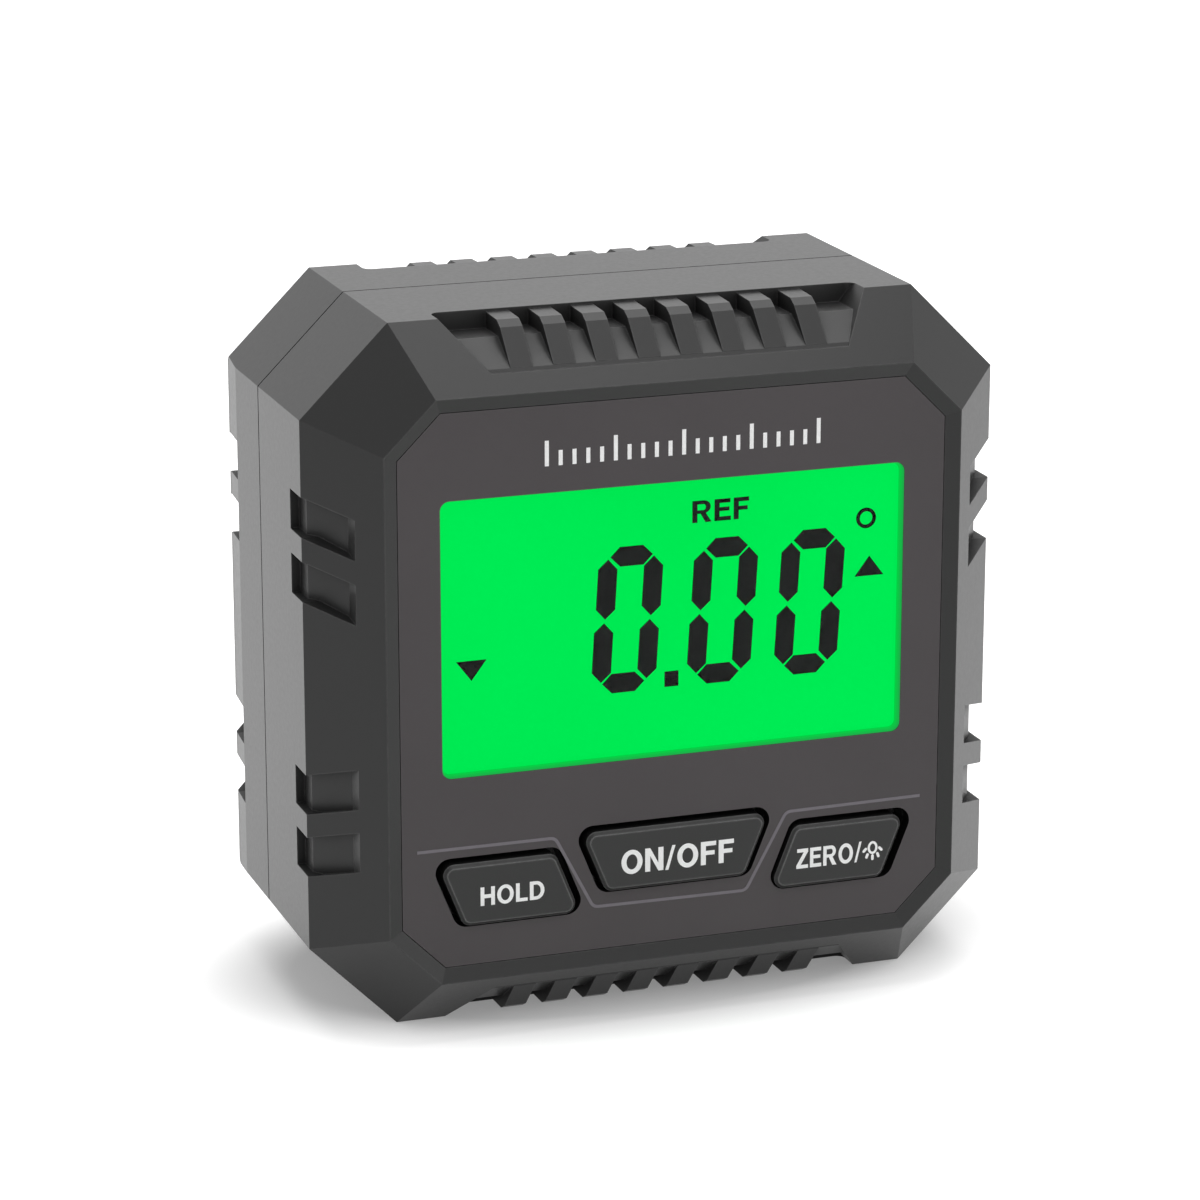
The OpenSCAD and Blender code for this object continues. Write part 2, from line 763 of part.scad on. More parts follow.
y_rear_edge = y_rear - bevel_d;
y_taper = y_rear_edge - notch_back;
module rear_case() {
    color([0.27, 0.27, 0.27])
    translate([0, 0, mid_z])
    difference() {
        union() {
            difference() {
                // Outer form behind the seam's fine groove
                intersection() {
                    octagon_solid([[y_part, seam_d], [y_part + seam_w, seam_d],
                                   [y_part + seam_w, 0], [y_rear - bevel_d, 0],
                                   [y_rear, bevel_run]]);
                    depth_slice(y_part, y_rear);
                    // Sides taper inwards beside the rear notches
                    translate([0, 0, -through])
                        linear_extrude(height = 2 * through)
                            polygon([[-reach_side, y_part - over], [reach_side, y_part - over],
                                     [reach_side, y_taper], [reach_side - side_taper, y_rear_edge],
                                     [reach_side - side_taper, y_rear + over],
                                     [side_taper - reach_side, y_rear + over],
                                     [side_taper - reach_side, y_rear_edge],
                                     [-reach_side, y_taper]]);
                }
                // Hollow
                intersection() {
                    octagon_solid([[y_part - over, wall_t],
                                   [y_rear - turn_depth(wall_t), wall_t],
                                   [y_rear - wall_t, bevel_inset(wall_t, wall_t)]]);
                    y_block(through, 2 * hollow_half_h, y_part - over, y_rear - wall_t);
                }
                // Rebate for the front half's tongue
                intersection() {
                    octagon_solid([[y_part - over, wall_t - tongue_t - fit_gap],
                                   [y_part + tongue_l + fit_gap, wall_t - tongue_t - fit_gap]]);
                    y_block(through, 2 * (hollow_half_h + tongue_t + fit_gap),
                            y_part - over, y_part + tongue_l + fit_gap);
                }
                mirror([0, 1, 0]) {
                    top_and_bottom()
                        grip_hollow();
                    notches();
                }
            }
            mirror([0, 1, 0])
                top_and_bottom()
                    grip_rib_row();
            bay_tray();
            at_four(screw_x, screw_z)
                y_rod(tower_d, y_part + fit_gap, y_rear - wall_t + bite);
        }
        // Mouth of the bay, and the recess that the door lies in
        y_block(mouth_w, mouth_h, y_bay_floor + ridge_h + bite, y_rear + over);
        y_block(door_w + 2 * door_gap, door_h + 2 * door_gap, y_door, y_rear + over);
        // Ends of the bay inside the bevelled walls
        y_block(bay_w, bay_h, y_bay_floor + ridge_h + bite, y_rear - wall_t);
        // Slots for the door's hooks
        for (sx = [-1, 1])
            translate([sx * hook_pitch / 2, 0, -door_h / 2 - hook_l - 2 * door_gap])
                translate([-hook_w / 2 - door_gap, y_door - loose_gap - hook_t, 0])
                    cube([hook_w + 2 * door_gap, hook_t + loose_gap + door_t - hook_lip,
                          hook_l + 2 * door_gap + (door_h - mouth_h) / 2 + bite]);
        // Case screws
        at_four(screw_x, screw_z) {
            y_rod(screw_head_d + loose_gap, y_screw_seat, y_rear + over);
            y_rod(screw_d + loose_gap, y_part - over, y_screw_seat + over);
        }
        tail_slot(1, cell_pitch / 2);
        tail_slot(1, -cell_pitch / 2);
        translate([0, 0, -mid_z])
            for (side = [-1, 1])
                magnet_place(1, side)
                    magnet_pocket();
    }
}

module battery_door() {
    color([0.25, 0.25, 0.25])
    translate([0, 0, mid_z])
    difference() {
        union() {
            y_block(door_w, door_h, y_door, y_rear);
            for (sx = [-1, 1])
                translate([sx * hook_pitch / 2 - hook_w / 2, y_door,
                           -door_h / 2 - hook_l])
                    cube([hook_w, hook_t, hook_l + bite]);
        }
        // Slits beside the latch finger
        for (sx = [-1, 1])
            translate([sx * (latch_w + latch_slit_w) / 2 - latch_slit_w / 2,
                       y_door - over, door_h / 2 - latch_slit_l])
                cube([latch_slit_w, door_t + 2 * over, latch_slit_l + over]);
        // Thumb dip across the latch finger
        translate([0, y_rear + thumb_r - thumb_dip, door_h / 2 - latch_slit_l / 2])
            x_rod(2 * thumb_r, -latch_w / 2 + latch_slit_w, latch_w / 2 - latch_slit_w);
    }
}
thumb_r = 3.5;
thumb_dip = 0.6;

// A cell lying along X with its button towards +X, and its base at x = 0
module cell() {
    x_rod(cell_d, 0, cell_l - cell_button_l);
    x_rod(cell_button_d, 0, cell_l);
}

contact_x = bay_w / 2 - contact_t;
cell_end = contact_x;
module battery_upper() {
    color([0.35, 0.36, 0.38])
        translate([cell_end - cell_l, cell_y, mid_z + cell_pitch / 2])
            cell();
}
module battery_lower() {
    color([0.35, 0.36, 0.38])
        translate([cell_l - cell_end, cell_y, mid_z - cell_pitch / 2])
            mirror([1, 0, 0])
                cell();
}

contact_h = 8.4;
module contact_plate(sx, z, h) {
    translate([sx * (bay_w / 2 - contact_t / 2), cell_y, z])
        cube([contact_t, cell_d - 2 * loose_gap, h], center = true);
}
module tail(sx, z) {
    translate([sx * (bay_w / 2 - contact_t / 2), 0, z])
        y_block(contact_t, tail_w, y_bay_floor - tail_l, cell_y);
}
module bridge_contact() {
    color([0.75, 0.75, 0.72]) translate([0, 0, mid_z])
        contact_plate(-1, 0, cell_pitch + contact_h);
}
module positive_contact() {
    color([0.75, 0.75, 0.72]) translate([0, 0, mid_z]) {
        contact_plate(1, cell_pitch / 2, contact_h);
        tail(1, cell_pitch / 2);
    }
}
module negative_contact() {
    color([0.75, 0.75, 0.72]) translate([0, 0, mid_z]) {
        contact_plate(1, -cell_pitch / 2, contact_h);
        tail(1, -cell_pitch / 2);
    }
}

// Swept round wire

function unit(v) = v / norm(v);
function tangent(p, i) =
    unit(p[min(i + 1, len(p) - 1)] - p[max(i - 1, 0)]);

// A closed tube of radius r along points p. No stretch may run along the guide.
module wire(p, r, sides, guide) {
    rings = len(p);
    points = [for (i = [0 : rings - 1])
        let (t = tangent(p, i), u = unit(cross(t, guide)), v = cross(t, u))
            for (a = [0 : sides - 1])
                p[i] + r * (cos(360 * a / sides) * u + sin(360 * a / sides) * v)];
    skin = [for (i = [0 : rings - 2], a = [0 : sides - 1])
        [i * sides + a, i * sides + (a + 1) % sides,
         (i + 1) * sides + (a + 1) % sides, (i + 1) * sides + a]];
    ends = [[for (a = [sides - 1 : -1 : 0]) a],
            [for (a = [0 : sides - 1]) (rings - 1) * sides + a]];
    polyhedron(points, concat(skin, ends));
}

// A conical coil spring along X from x0 to x1, wide at x0
spring_steps = 14;
function coil(x0, x1) =
    let (n = round(spring_turns * spring_steps))
    [for (i = [0 : n])
        let (s = i / n, d = spring_d + (spring_tip_d - spring_d) * s - spring_wire,
             a = 360 * spring_turns * s)
            [x0 + (x1 - x0) * s, d / 2 * cos(a), d / 2 * sin(a)]];
spring_x0 = contact_x - spring_wire / 2 - fit_gap;
spring_tip_x = cell_end - (bay_w - cell_l - 2 * contact_t) + spring_wire / 2 + fit_gap;

module spring_upper() {
    color([0.8, 0.8, 0.78])
        translate([0, cell_y, mid_z + cell_pitch / 2])
            wire(coil(-spring_x0, -spring_tip_x), spring_wire / 2, 6, [1, 0, 0]);
}
module spring_lower() {
    color([0.8, 0.8, 0.78])
        translate([0, cell_y, mid_z - cell_pitch / 2])
            wire(coil(spring_x0, spring_tip_x), spring_wire / 2, 6, [1, 0, 0]);
}

// Leads from the contacts' tails to the board, each an S with straight ends along -Y
lead_d = 1;
lead_steps = 12;
y_tail_end = y_bay_floor - tail_l;
lead_pad_x = 4.5;
function lead_route(z0, z1) =
    [for (i = [0 : lead_steps])
        let (s = i / lead_steps, c = min(max((i - 1) / (lead_steps - 2), 0), 1),
             e = c * c * (3 - 2 * c))
            [bay_w / 2 - contact_t - lead_d / 2 - lead_pad_x * e,
             y_tail_end + tail_w - (y_tail_end + tail_w - y_board_back) * s,
             z0 + (z1 - z0) * e]];
lead_drop = 3;
module positive_lead() {
    color([0.7, 0.1, 0.08])
        translate([0, 0, mid_z])
            wire(lead_route(cell_pitch / 2, cell_pitch / 2 - lead_drop), lead_d / 2, 8, [0, 0, 1]);
}
module negative_lead() {
    color([0.08, 0.08, 0.08])
        translate([0, 0, mid_z])
            wire(lead_route(-cell_pitch / 2, lead_drop - cell_pitch / 2), lead_d / 2, 8,
                 [0, 0, 1]);
}

// Face panel and display

module face_panel() {
    color([0.31, 0.3, 0.3])
    translate([0, 0, mid_z])
    difference() {
        octagon_solid([[y_panel, bevel_run + band_w + fit_gap],
                       [y_panel_back, bevel_run + band_w + fit_gap]]);
        translate([0, 0, window_z]) {
            front_view(y_panel - over, y_panel_back + over)
                rounded_view(window_w, window_h, window_r);
            front_view(y_panel_back - lens_t, y_panel_back + over)
                rounded_view(window_w + 2 * lens_edge_w, window_h + 2 * lens_edge_w,
                             window_r + lens_edge_w);
        }
        key_holes(y_panel - over, y_panel_back + over);
    }
}

module display_lens() {
    color([0.85, 0.95, 0.88, 0.4])
    translate([0, 0, mid_z + window_z])
        front_view(y_panel_back - lens_t, y_panel_back)
            rounded_view(window_w + 2 * lens_edge_w - 2 * fit_gap,
                         window_h + 2 * lens_edge_w - 2 * fit_gap,
                         window_r + lens_edge_w - fit_gap);
}

module display_glass() {
    color([0.02, 0.9, 0.33])
    translate([0, 0, mid_z + window_z]) {
        y_block(lcd_w, lcd_h, y_lcd, y_lcd + glass_t);
        translate([0, 0, -ledge_h / 2])
            y_block(lcd_w, lcd_h + ledge_h, y_lcd + glass_t, y_guide);
    }
}

// A lying bar of a digit with pointed ends, l long, centred on the origin
module bar(l) {
    half = bar_w / 2;
    polygon([[-l / 2, 0], [-l / 2 + half, half], [l / 2 - half, half],
             [l / 2, 0], [l / 2 - half, -half], [-l / 2 + half, -half]]);
}

// One zero, centred on the origin: two lying bars and four standing bars
module zero_digit() {
    across = digit_w - bar_w;
    up = (digit_h - bar_w) / 2;
    for (s = [-1, 1])
        translate([s * digit_lean / 2, s * up])
            bar(across - bar_gap);
    for (sx = [-1, 1], sz = [-1, 1])
        translate([sx * across / 2 + sz * digit_lean / 4, sz * up / 2])
            rotate(90 - atan(digit_lean / digit_h))
                bar(up - bar_gap);
}

// Places of the digits and the other marks from the window's centre
digits_x = 4.3;
digit_pitch = 8;
middle_digit_shift = 0.3;
point_place = [0.15, -5.45];
point_size = [1.2, 1.3];
// The degree ring from the window's top right corner, and the arrows from its sides
degree_in = [2.8, 4.9];
degree_place = [window_w / 2 - degree_in[0], window_h / 2 - degree_in[1]];
degree_d = 1.75;
degree_line = 0.3;
arrow_w = 2.55;
arrow_h = 1.68;
arrow_up_in = 2.45;
arrow_up_z = 2.6;
arrow_down_in = 2.95;
arrow_down_z = -3.05;
arrow_up_place = [window_w / 2 - arrow_up_in, arrow_up_z];
arrow_down_place = [arrow_down_in - window_w / 2, arrow_down_z];

module arrow() {
    polygon([[-arrow_w / 2, -arrow_h / 2], [arrow_w / 2, -arrow_h / 2], [0, arrow_h / 2]]);
}

module display_segments() {
    color([0.1, 0.1, 0.1])
    translate([0, 0, mid_z + window_z])
    front_view(y_lcd - ink_t, y_lcd) {
        for (i = [-1, 0, 1])
            translate([digits_x + i * digit_pitch + (i == 0 ? middle_digit_shift : 0), 0])
                zero_digit();
        translate(point_place)
            square(point_size, center = true);
        translate(degree_place)
            difference() {
                circle(d = degree_d, $fn = round_fn);
                circle(d = degree_d - 2 * degree_line, $fn = round_fn);
            }
        translate(arrow_up_place)
            arrow();
        translate(arrow_down_place)
            rotate(180)
                arrow();
    }
}

// Backlight

led_w = 3;
led_t = 1.2;
led_h = 1;
led_pitch = 20;
module light_guide() {
    color([0.85, 0.95, 0.88])
    translate([0, 0, mid_z + window_z])
        difference() {
            y_block(guide_w - 2 * guide_frame_t - 2 * fit_gap,
                    guide_h - 2 * guide_frame_t - 2 * fit_gap,
                    y_guide, y_guide + guide_t - guide_frame_t);
            for (sx = [-1, 1])
                translate([sx * led_pitch / 2, 0,
                           (guide_h - 2 * guide_frame_t - 2 * fit_gap - led_h) / 2])
                    y_block(led_w + 2 * fit_gap, led_h + 2 * fit_gap, y_guide - over,
                            y_guide + guide_t);
        }
}
module guide_frame() {
    color([0.9, 0.9, 0.88])
    translate([0, 0, mid_z + window_z])
        difference() {
            y_block(guide_w, guide_h, y_guide, y_guide + guide_t);
            y_block(guide_w - 2 * guide_frame_t, guide_h - 2 * guide_frame_t,
                    y_guide - over, y_guide + guide_t - guide_frame_t + fit_gap);
        }
}
module backlight_leds() {
    color([0.95, 0.95, 0.8])
    translate([0, 0, mid_z + window_z])
        for (sx = [-1, 1])
            translate([sx * led_pitch / 2, 0,
                       guide_h / 2 - guide_frame_t - led_h / 2 - fit_gap])
                y_block(led_w, led_h, y_guide + guide_t - guide_frame_t - led_t,
                        y_guide + guide_t - guide_frame_t);
}

// Length of the contact strip's glass left bare at each end
strip_inset = 3.6;
strip_l = lcd_w - 2 * strip_inset;
strip_h = 1.4;
module contact_strip() {
    color([0.85, 0.4, 0.55])
    translate([0, 0, mid_z + window_z - lcd_h / 2 - ledge_h / 2])
        y_block(strip_l, strip_h, y_guide, y_board);
}

// Board and what it carries

module circuit_board() {
    cut_half = board_w / 2 - board_cut;
    color([0.1, 0.35, 0.2])
    translate([0, 0, mid_z - board_low])
    difference() {
        front_view(y_board, y_board_back)
            polygon([[-cut_half, board_h / 2], [cut_half, board_h / 2],
                     [board_w / 2, board_h / 2 - board_cut],
                     [board_w / 2, board_cut - board_h / 2],
                     [cut_half, -board_h / 2], [-cut_half, -board_h / 2],
                     [-board_w / 2, board_cut - board_h / 2],
                     [-board_w / 2, board_h / 2 - board_cut]]);
        for (sx = [-1, 1], z = [board_post_low, board_post_high])
            translate([sx * board_post_x, 0, z + board_low])
                y_rod(board_screw_d + 2 * fit_gap, y_board - over, y_board_back + over);
    }
}

// A chip on the board's rear face
module chip(place, size, tone) {
    color(tone)
    translate([place[0], 0, mid_z + place[1]])
        y_block(size[0], size[1], y_board_back, y_board_back + size[2]);
}
mcu_place = [-6, 2];
sensor_place = [8, 9];
crystal_place = [-6, -9];
sounder_place = [9, -6];
module controller_chip() { chip(mcu_place, [mcu_w, mcu_w, mcu_t], [0.1, 0.1, 0.11]); }
module tilt_sensor() { chip(sensor_place, [sensor_w, sensor_w, sensor_t], [0.2, 0.2, 0.22]); }
module timing_crystal() {
    color([0.75, 0.75, 0.77])
    translate([crystal_place[0], y_board_back + crystal_d / 2, mid_z + crystal_place[1]])
        x_rod(crystal_d, -crystal_l / 2, crystal_l / 2);
}
module sounder() {
    color([0.08, 0.08, 0.08])
    translate([sounder_place[0], 0, mid_z + sounder_place[1]])
        difference() {
            y_rod(sounder_d, y_board_back, y_board_back + sounder_h);
            y_rod(sounder_hole_d, y_board_back + sounder_h / 2, y_board_back + sounder_h + over);
        }
}
sounder_hole_d = 1.6;

// A key switch with a well for its plunger
well_floor_t = 0.3;
module switch_body(k) {
    color([0.15, 0.15, 0.16])
    translate([key_middle(k), 0, mid_z + k[5]])
        difference() {
            y_block(switch_w, switch_w, y_switch, y_board);
            y_rod(plunger_d + 4 * fit_gap, y_switch - over, y_board - well_floor_t);
        }
}
module switch_plunger(k) {
    color([0.85, 0.2, 0.15])
    translate([key_middle(k), 0, mid_z + k[5]])
        y_rod(plunger_d, y_plunger, y_board - well_floor_t - key_travel - fit_gap);
}
module hold_switch() { switch_body(hold_shape); }
module power_switch() { switch_body(power_shape); }
module zero_switch() { switch_body(zero_shape); }
module hold_plunger() { switch_plunger(hold_shape); }
module power_plunger() { switch_plunger(power_shape); }
module zero_plunger() { switch_plunger(zero_shape); }

// Screws

// A screw along Y with its head's underside at y = 0 and its tip towards -Y
module screw(d, l, head_d, head_t, slot_w) {
    difference() {
        union() {
            y_rod(d, -l, bite);
            y_rod(head_d, 0, head_t);
        }
        for (a = [0, 90])
            rotate([0, a, 0])
                y_block(head_d - 2 * slot_w, slot_w, head_t / 2, head_t + over);
    }
}
case_slot_w = 0.7;
board_slot_w = 0.5;
module case_screws() {
    color([0.5, 0.5, 0.52])
    translate([0, y_screw_seat, mid_z])
        at_four(screw_x, screw_z)
            screw(screw_d, screw_l, screw_head_d, screw_head_t, case_slot_w);
}
module board_screws() {
    color([0.6, 0.6, 0.6])
    translate([0, y_board_back, mid_z])
        for (sx = [-1, 1], z = [board_post_low, board_post_high])
            translate([sx * board_post_x, 0, z])
                screw(board_screw_d, board_screw_l, board_screw_head_d, board_screw_head_t,
                      board_slot_w);
}

module magnet_front_left() { magnet(-1, -1); }
module magnet_front_right() { magnet(-1, 1); }
module magnet_rear_left() { magnet(1, -1); }
module magnet_rear_right() { magnet(1, 1); }

front_case();
rear_case();
face_panel();
display_lens();
display_glass();
display_segments();
light_guide();
guide_frame();
backlight_leds();
contact_strip();
circuit_board();
controller_chip();
tilt_sensor();
timing_crystal();
sounder();
hold_key();
power_key();
zero_key();
hold_switch();
power_switch();
zero_switch();
hold_plunger();
power_plunger();
zero_plunger();
battery_upper();
battery_lower();
bridge_contact();
positive_contact();
negative_contact();
spring_upper();
spring_lower();
positive_lead();
negative_lead();
battery_door();
case_screws();
board_screws();
magnet_front_left();
magnet_front_right();
magnet_rear_left();
magnet_rear_right();
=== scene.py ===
"""Looks of the digital angle gauge: materials, printed marks, light and camera."""
import math

import bmesh
import bpy
from mathutils import Matrix, Vector


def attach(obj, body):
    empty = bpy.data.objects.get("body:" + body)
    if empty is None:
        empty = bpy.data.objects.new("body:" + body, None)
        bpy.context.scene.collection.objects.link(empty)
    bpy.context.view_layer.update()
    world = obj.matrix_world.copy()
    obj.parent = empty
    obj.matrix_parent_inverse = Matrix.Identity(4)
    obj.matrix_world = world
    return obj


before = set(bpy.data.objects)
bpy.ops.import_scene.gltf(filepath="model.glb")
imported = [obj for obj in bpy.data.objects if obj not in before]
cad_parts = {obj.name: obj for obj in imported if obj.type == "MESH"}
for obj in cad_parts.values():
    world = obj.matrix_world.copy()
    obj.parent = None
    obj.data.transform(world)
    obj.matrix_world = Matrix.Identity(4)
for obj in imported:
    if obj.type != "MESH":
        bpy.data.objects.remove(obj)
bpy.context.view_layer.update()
MM = 0.001
scene = bpy.context.scene


def add(name, data):
    """A new object in the scene that shows this mesh, light or camera."""
    made = bpy.data.objects.new(name, data)
    scene.collection.objects.link(made)
    return made


# ---------------------------------------------------------------- camera

# fitted to the case's corners in the photo: where it looks from, its focal length in pixels
# at that photo's width, and its steps to the right, up and back from the front's middle
AZIMUTH, ELEVATION = math.radians(-19.292), math.radians(15.997)
FOCAL, PHOTO_WIDTH, SENSOR = 4357.2, 1200, 36
FRONT_MIDDLE = Vector((0, -0.0175, 0.02975))
STEP_RIGHT, STEP_UP, STEP_BACK = -0.006375, 0.006049, 0.35636

across = math.cos(ELEVATION)
back = Vector((math.sin(AZIMUTH) * across, -math.cos(AZIMUTH) * across, math.sin(ELEVATION)))
right = (-back).cross(Vector((0, 0, 1))).normalized()
up = right.cross(-back)
eye = FRONT_MIDDLE + right * STEP_RIGHT + up * STEP_UP + back * STEP_BACK

cam_data = bpy.data.cameras.new("camera")
cam_data.sensor_fit = "HORIZONTAL"
cam_data.sensor_width = SENSOR
cam_data.lens = FOCAL / PHOTO_WIDTH * SENSOR
cam_data.clip_start, cam_data.clip_end = 0.01, 20
cam = add("camera", cam_data)
cam.matrix_world = Matrix.Translation(eye) @ Matrix((right, up, back)).transposed().to_4x4()
scene.camera = cam
scene.view_settings.view_transform = "Standard"

# ---------------------------------------------------------------- node trees

NOISE = (0.3, 0.7)     # nearly all values of a noise lie between these
RAYS = 6               # cast by each bevel and shelter node
RUB_AND_HIGHLIGHT_REACH = 0.25 * MM  # how far from an edge the rubbing and painted highlight show


class Nodes:
    """A node tree, with short calls for the nodes that go into it."""

    def __init__(self, tree):
        self.tree = tree

    def node(self, kind, **values):
        """A shader node; each value goes to the input of that name, or else the property."""
        n = self.tree.nodes.new("ShaderNode" + kind)
        for key, value in values.items():
            if key in n.inputs:
                n.inputs[key].default_value = value
            else:
                setattr(n, key, value)
        return n

    def feed(self, value, socket):
        """Gives an input a constant, or what another node puts out."""
        if isinstance(value, bpy.types.NodeSocket):
            self.tree.links.new(value, socket)
        else:
            socket.default_value = value

    def calc(self, operation, *values):
        """The result of an operation on numbers."""
        n = self.node("Math", operation=operation)
        for value, socket in zip(values, n.inputs):
            self.feed(value, socket)
        return n.outputs["Value"]

    def vector_calc(self, operation, output, *values):
        """The named output of an operation on vectors."""
        n = self.node("VectorMath", operation=operation)
        for value, socket in zip(values, n.inputs):
            self.feed(value, socket)
        return n.outputs[output]

    def remap(self, value, source, target=(0, 1)):
        """A value carried over from one range to another, and held at its ends."""
        n = self.node("MapRange")
        for key, end in zip(("From Min", "From Max", "To Min", "To Max"), (*source, *target)):
            n.inputs[key].default_value = end
        self.feed(value, n.inputs["Value"])
        return n.outputs["Result"]

    def seen_white(self, plain):
        """1 for camera, glossy and transmission rays, and plain for those that light."""
        path = self.node("LightPath").outputs
        seen = self.calc("MAXIMUM", path["Is Camera Ray"], path["Is Glossy Ray"])
        seen = self.calc("MAXIMUM", seen, path["Is Transmission Ray"])
        return self.remap(seen, (0, 1), (plain, 1))


class Mat(Nodes):
    """A material, and short calls for what its surface is made of."""

    def __init__(self, name):
        self.made = bpy.data.materials.new(name)
        self.made.use_nodes = True
        super().__init__(self.made.node_tree)
        self.bsdf = self.tree.nodes["Principled BSDF"]
        self.coords = self.node("TexCoord").outputs["Object"]

    def set(self, **values):
        """Feeds the surface's inputs; an underscore stands for a space in a name."""
        for key, value in values.items():
            self.feed(value, self.bsdf.inputs[key.replace("_", " ")])

    def noise(self, scale, detail, rough=0.5):
        """Noise with about as many bumps to the metre as scale says."""
        n = self.node("TexNoise", Scale=scale, Detail=detail, Roughness=rough)
        self.feed(self.coords, n.inputs["Vector"])
        return n.outputs["Fac"]

    def ramp(self, fac, low, high, ends=NOISE):
        """The colour low where fac is at the first end, drifting to high at the second."""
        n = self.node("ValToRGB")
        for item, place, colour in zip(n.color_ramp.elements, ends, (low, high)):
            item.position = place
            item.color = (*colour, 1)
        self.feed(fac, n.inputs["Fac"])
        return n.outputs["Color"]

    def spread(self, fac, low, high):
        """A noise stretched to run from low to high."""
        return self.remap(fac, NOISE, (low, high))

    def edges(self, turn):
        """How sharply the surface turns here: 0 on a flat, 1 from turn (1 - cosine) on."""
        bevel = self.node("Bevel", samples=RAYS, Radius=RUB_AND_HIGHLIGHT_REACH)
        flat = self.node("NewGeometry")
        same = self.vector_calc("DOT_PRODUCT", "Value", bevel.outputs["Normal"],
                                flat.outputs["Normal"])
        return self.remap(same, (1 - turn / 15, 1 - turn))

    def wall(self):
        """1 on walls that stand square to the front, 0 on faces that look forward."""
        split = self.node("SeparateXYZ")
        self.feed(self.node("NewGeometry").outputs["True Normal"], split.inputs["Vector"])
        return self.remap(self.calc("ABSOLUTE", split.outputs["Y"]), (0.35, 0.1))

    def crevice(self, reach):
        """How deep in an inner corner of its own node a point lies, from 0 to 1."""
        shelter = self.node("AmbientOcclusion", samples=RAYS, only_local=True, Distance=reach)
        return self.remap(shelter.outputs["AO"], (0.95, 0.45))

    def mix(self, fac, shade, colour):
        """The shade of a socket where fac is 0, and a plain colour where it is 1."""
        n = self.node("Mix", data_type="RGBA")
        first, second, result = n.inputs[6], n.inputs[7], n.outputs[2]  # the colour sockets
        self.feed(fac, n.inputs["Factor"])
        self.feed(shade, first)
        second.default_value = (*colour, 1)
        return result

    def bump(self, height, strength, depth, bevel=0):
        """A relief of that depth in mm, on edges that look rounded by bevel, in mm too."""
        n = self.node("Bump", Strength=strength, Distance=depth * MM)
        self.feed(height, n.inputs["Height"])
        if bevel:
            soft = self.node("Bevel", samples=RAYS, Radius=bevel * MM)
            self.feed(soft.outputs["Normal"], n.inputs["Normal"])
        self.set(Normal=n.outputs["Normal"])


# ---------------------------------------------------------------- light

world = bpy.data.worlds.new("studio")
world.use_nodes = True
scene.world = world
sky = Nodes(world.node_tree)
background = world.node_tree.nodes["Background"]
sky.feed((1, 1, 1, 1), background.inputs["Color"])
sky.feed(sky.seen_white(0.36), background.inputs["Strength"])

LIT_POINT = Vector((0, 0, 0.03))
for name, place, size, watts in (
        ("top_light", (0.02, 0.08, 0.6), (0.5, 0.35), 1.5),
        ("back_light", (0.1, 0.45, 0.5), (0.5, 0.35), 0.9),
        ("left_light", (-0.5, 0.42, 0.22), (0.4, 0.4), 0.6),
        ("front_light", (0.1, -0.5, 0.7), (0.5, 0.4), 1.7),
        ("low_light", (0.35, -0.7, 0.16), (1.3, 0.29), 1.3)):
    panel = bpy.data.lights.new(name, "AREA")
    panel.shape = "RECTANGLE"
    panel.size, panel.size_y = size
    panel.energy = watts
    light = add(name, panel)
    light.location = place
    light.rotation_mode = "QUATERNION"
    light.rotation_quaternion = (LIT_POINT - Vector(place)).to_track_quat("-Z", "Y")

# ---------------------------------------------------------------- materials


def grey(level):
    return (level, level, level)


def tint(colour, factor):
    return [c * factor for c in colour]


def moulded(name, colour, edge_wear_and_highlight, rough, grain=0.5, bevel=0.12, specular=0.5, sides=None,
            rub_and_highlight_shares=(0.15, 0.85), crevice=None, turn=0.3):
    """Moulded plastic: fine grain, slow colour drift, and edges lighter in a second colour.

    The edge colour is partly wear and partly a painted highlight. It varies in patches
    between the given shares, and it is full where the surface turns by turn (1 - cosine) or
    more. Walls square to the front take the colour in sides, where it is given, as painted
    shade, and crevice is the reach over which inner corners get painted shade: a darker
    colour, with a duller gloss.
    """
    m = Mat(name)
    shade = m.ramp(m.noise(60, 3), tint(colour, 0.96), tint(colour, 1.04))
    # edges lightened, partly as wear and partly as a painted highlight
    rub_and_highlight = m.calc("MULTIPLY", m.edges(turn), m.spread(m.noise(900, 4, 0.6), *rub_and_highlight_shares))
    # walls square to the front get the sides colour: painted shade, darker than the faces
    # that look forward
    if sides:
        wall = m.wall()
        shade = m.mix(wall, shade, sides)
        rub_and_highlight = m.calc("MULTIPLY", rub_and_highlight, m.calc("SUBTRACT", 1, wall))
    gloss = m.spread(m.noise(2400, 3), rough - 0.02, rough + 0.02)
    # inner corners get painted shade: a darker colour, and a duller gloss
    if crevice:
        corner_shade_and_dull = m.crevice(crevice)
        shade = m.mix(corner_shade_and_dull, shade, tint(colour, 0.25))
        gloss = m.calc("MULTIPLY_ADD", corner_shade_and_dull, 0.35, gloss)
    m.set(Base_Color=m.mix(rub_and_highlight, shade, edge_wear_and_highlight), Roughness=gloss, Specular_IOR_Level=specular)
    m.bump(m.noise(14000, 3), grain, 0.01, bevel)
    return m.made


def metal(name, colour, rough, streak=(1, 1, 1), relief=0.3):
    """Plated or brushed metal, streaked along the axis with the smallest streak value."""
    m = Mat(name)
    mapping = m.node("Mapping", Scale=streak)
    m.feed(m.coords, mapping.inputs["Vector"])
    m.coords = mapping.outputs["Vector"]
    m.set(Base_Color=m.ramp(m.noise(500, 4), tint(colour, 0.88), colour),
          Roughness=m.spread(m.noise(2500, 3), rough - 0.06, rough + 0.1), Metallic=1.0)
    m.bump(m.noise(6000, 2), relief, 0.01, 0.06)
    return m.made


